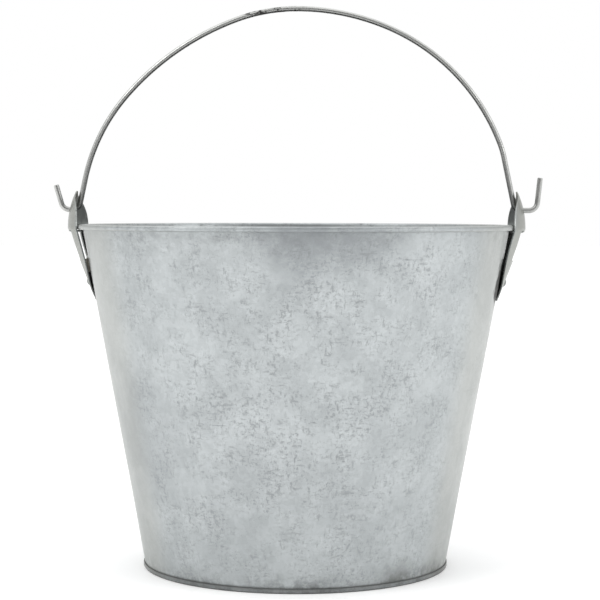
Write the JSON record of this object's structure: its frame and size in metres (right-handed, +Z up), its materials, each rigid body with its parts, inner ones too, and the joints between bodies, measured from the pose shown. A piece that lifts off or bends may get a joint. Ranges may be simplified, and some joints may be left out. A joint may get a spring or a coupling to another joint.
{
  "type": "florist bucket",
  "caption": "Tapered galvanised steel bucket with a rolled rim, riveted ears and a swinging wire bail, for holding cut flowers in water.",
  "frame": {"origin": "centre of the foot, on the surface that the bucket stands on", "axes": "+Z up along the body's axis; the two ears and the bail's pivot line lie along X; the side seam faces +Y"},
  "size_m": [0.2598, 0.23, 0.2964],
  "materials": {
    "body_sheet": "hot-dip galvanised sheet, mottled, satin",
    "bottom_sheet": "hot-dip galvanised sheet, mottled, satin",
    "rim_wire": "plain drawn wire, sealed in the rim",
    "ear_sheet": "galvanised pressed sheet, satin",
    "rivet": "galvanised, dull",
    "bail_wire": "galvanised wire with small dark flakes"
  },
  "bodies": {
    "bucket": {"body_wall": "body_sheet", "bottom_disc": "bottom_sheet", "rim_wire": "rim_wire", "ear_left": "ear_sheet", "ear_right": "ear_sheet", "rivet_left": "rivet", "rivet_right": "rivet"},
    "bail": {"bail": "bail_wire"}
  },
  "joints": [
    {"name": "bail_swing", "type": "hinge", "parent": "bucket", "child": "bail", "pos_m": [0, 0, 0.1887], "axis": [1, 0, 0], "range_deg": [-96, 96]}
  ]
}
